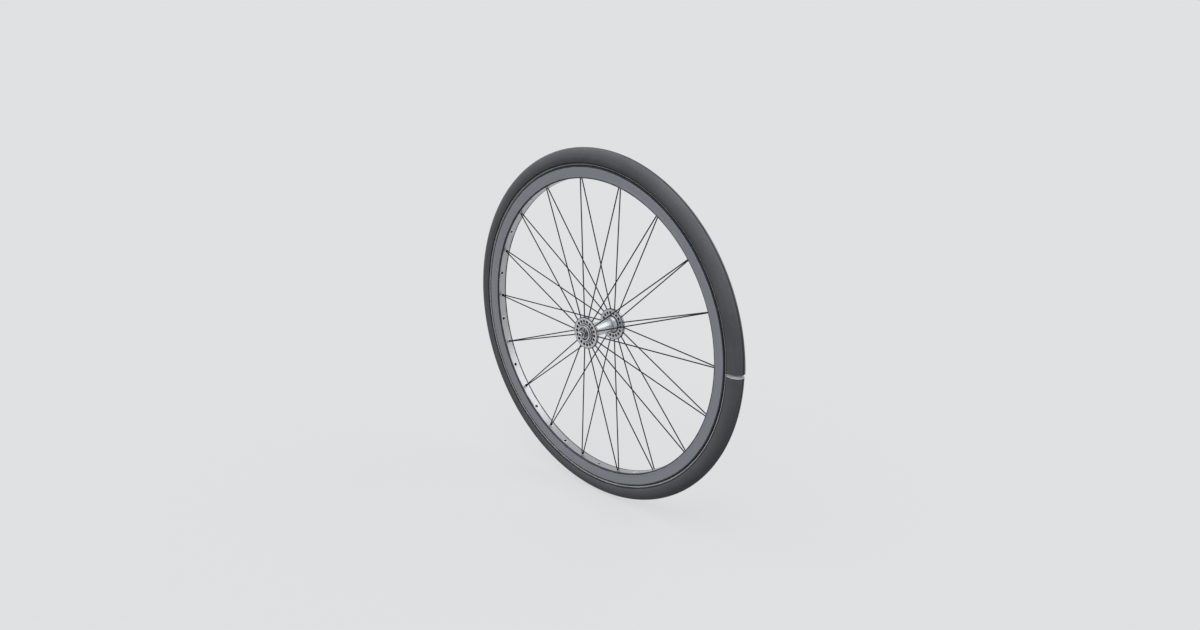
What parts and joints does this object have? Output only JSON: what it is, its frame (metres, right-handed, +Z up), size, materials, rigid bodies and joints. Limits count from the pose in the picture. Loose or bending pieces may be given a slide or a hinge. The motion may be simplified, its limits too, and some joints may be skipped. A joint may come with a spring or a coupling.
{
  "type": "bicycle wheel",
  "caption": "Upright spoked bicycle wheel: box-section rim, radial spokes in pairs, high-flange hub on ball bearings, smooth tyre slit across, with bare and empty rim holes.",
  "frame": {"origin": "middle of the hub, on the spin axis, half way between the two locknut faces", "axes": "+Y along the spin axis towards the far side, +Z up, +X towards the slit in the tyre"},
  "size_m": [0.7, 0.108, 0.7],
  "materials": {
    "tyre_rubber": "matte",
    "bead_steel": "satin",
    "core_foam": "matte",
    "tape_cloth": "matte",
    "rim_alloy": "satin",
    "eyelet_steel": "satin",
    "anchor_brass": "nickel plated",
    "spoke_steel": "satin",
    "hub_alloy": "polished",
    "race_steel": "ground",
    "cap_steel": "bright",
    "ball_steel": "polished",
    "cage_steel": "dark",
    "nut_steel": "satin",
    "axle_steel": "satin"
  },
  "bodies": {
    "axle": {"axle": "axle_steel", "cone_near": "race_steel", "cone_far": "race_steel", "lock_washer_near": "nut_steel", "lock_washer_far": "nut_steel", "locknut_near": "nut_steel", "locknut_far": "nut_steel"},
    "wheel": {"tyre": "tyre_rubber", "bead_wires": "bead_steel", "foam_core": "core_foam", "rim_tape": "tape_cloth", "rim": "rim_alloy", "rim_eyelets": "eyelet_steel", "spoke_anchors": "anchor_brass", "spoke_near_01": "spoke_steel", "spoke_near_02": "spoke_steel", "spoke_near_03": "spoke_steel", "spoke_near_04": "spoke_steel", "spoke_near_05": "spoke_steel", "spoke_near_06": "spoke_steel", "spoke_near_07": "spoke_steel", "spoke_near_08": "spoke_steel", "spoke_near_09": "spoke_steel", "spoke_near_10": "spoke_steel", "spoke_near_11": "spoke_steel", "spoke_near_12": "spoke_steel", "spoke_near_13": "spoke_steel", "spoke_near_14": "spoke_steel", "spoke_near_15": "spoke_steel", "spoke_near_16": "spoke_steel", "spoke_near_17": "spoke_steel", "spoke_near_18": "spoke_steel", "spoke_far_01": "spoke_steel", "spoke_far_02": "spoke_steel", "spoke_far_03": "spoke_steel", "spoke_far_04": "spoke_steel", "spoke_far_05": "spoke_steel", "spoke_far_06": "spoke_steel", "spoke_far_07": "spoke_steel", "spoke_far_08": "spoke_steel", "spoke_far_09": "spoke_steel", "spoke_far_10": "spoke_steel", "spoke_far_11": "spoke_steel", "spoke_far_12": "spoke_steel", "spoke_far_13": "spoke_steel", "spoke_far_14": "spoke_steel", "spoke_far_15": "spoke_steel", "spoke_far_16": "spoke_steel", "spoke_far_17": "spoke_steel", "spoke_far_18": "spoke_steel", "hub_shell": "hub_alloy", "bearing_cup_near": "race_steel", "bearing_cup_far": "race_steel", "dust_cap_near": "cap_steel", "dust_cap_far": "cap_steel"},
    "balls_near": {"ball_set_near": "ball_steel", "ball_cage_near": "cage_steel"},
    "balls_far": {"ball_set_far": "ball_steel", "ball_cage_far": "cage_steel"}
  },
  "joints": [
    {"name": "wheel_spin", "type": "hinge", "parent": "axle", "child": "wheel", "pos_m": [0, 0, 0], "axis": [0, 1, 0], "continuous": true},
    {"name": "balls_near_spin", "type": "hinge", "parent": "axle", "child": "balls_near", "pos_m": [0, 0, 0], "axis": [0, 1, 0], "continuous": true},
    {"name": "balls_far_spin", "type": "hinge", "parent": "axle", "child": "balls_far", "pos_m": [0, 0, 0], "axis": [0, 1, 0], "continuous": true}
  ],
  "couplings": [
    {"joint": "balls_near_spin", "follows": "wheel_spin", "ratio": 0.6},
    {"joint": "balls_far_spin", "follows": "wheel_spin", "ratio": 0.6}
  ]
}
